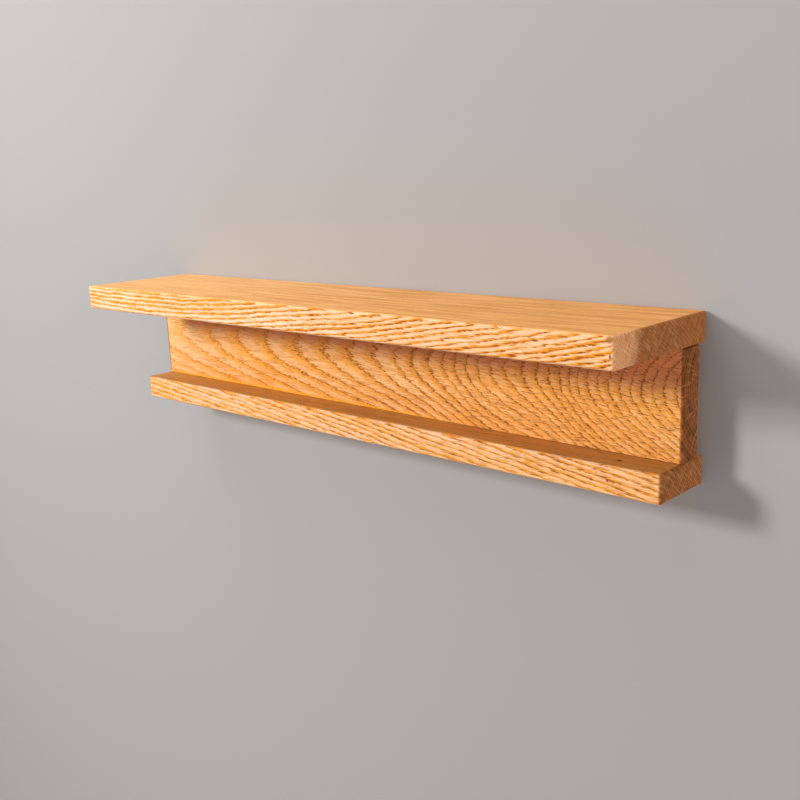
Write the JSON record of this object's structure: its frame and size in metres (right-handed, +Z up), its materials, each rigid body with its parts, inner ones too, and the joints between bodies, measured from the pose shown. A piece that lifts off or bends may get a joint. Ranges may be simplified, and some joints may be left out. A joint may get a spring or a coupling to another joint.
{
  "type": "display shelf",
  "caption": "Wall-hung solid oak display shelf: a deep top board and a narrow lower ledge on a back board that stands off the wall.",
  "frame": {"origin": "middle of the top board's rear face, where it bears on the wall", "axes": "+X along the shelf, to the right as seen from the front; -Y to the front, so the wall is the plane Y = 0; +Z up"},
  "size_m": [0.6, 0.12, 0.124],
  "materials": {
    "pale_oak": "oiled, open pored",
    "golden_oak": "oiled, open pored",
    "tan_oak": "oiled, open pored",
    "beech": "bare, fluted",
    "zinc_plated_steel": "zinc plated",
    "bright_steel": "bright zinc plated"
  },
  "bodies": {
    "root": {"top_board": "pale_oak", "back_board": "golden_oak", "ledge_board": "tan_oak", "top_dowel_1": "beech", "top_dowel_2": "beech", "top_dowel_3": "beech", "top_dowel_4": "beech", "top_dowel_5": "beech", "ledge_dowel_1": "beech", "ledge_dowel_2": "beech", "ledge_dowel_3": "beech", "ledge_dowel_4": "beech", "ledge_dowel_5": "beech", "left_hanger_plate": "zinc_plated_steel", "right_hanger_plate": "zinc_plated_steel", "left_hanger_left_screw": "bright_steel", "left_hanger_right_screw": "bright_steel", "right_hanger_left_screw": "bright_steel", "right_hanger_right_screw": "bright_steel"}
  },
  "joints": []
}
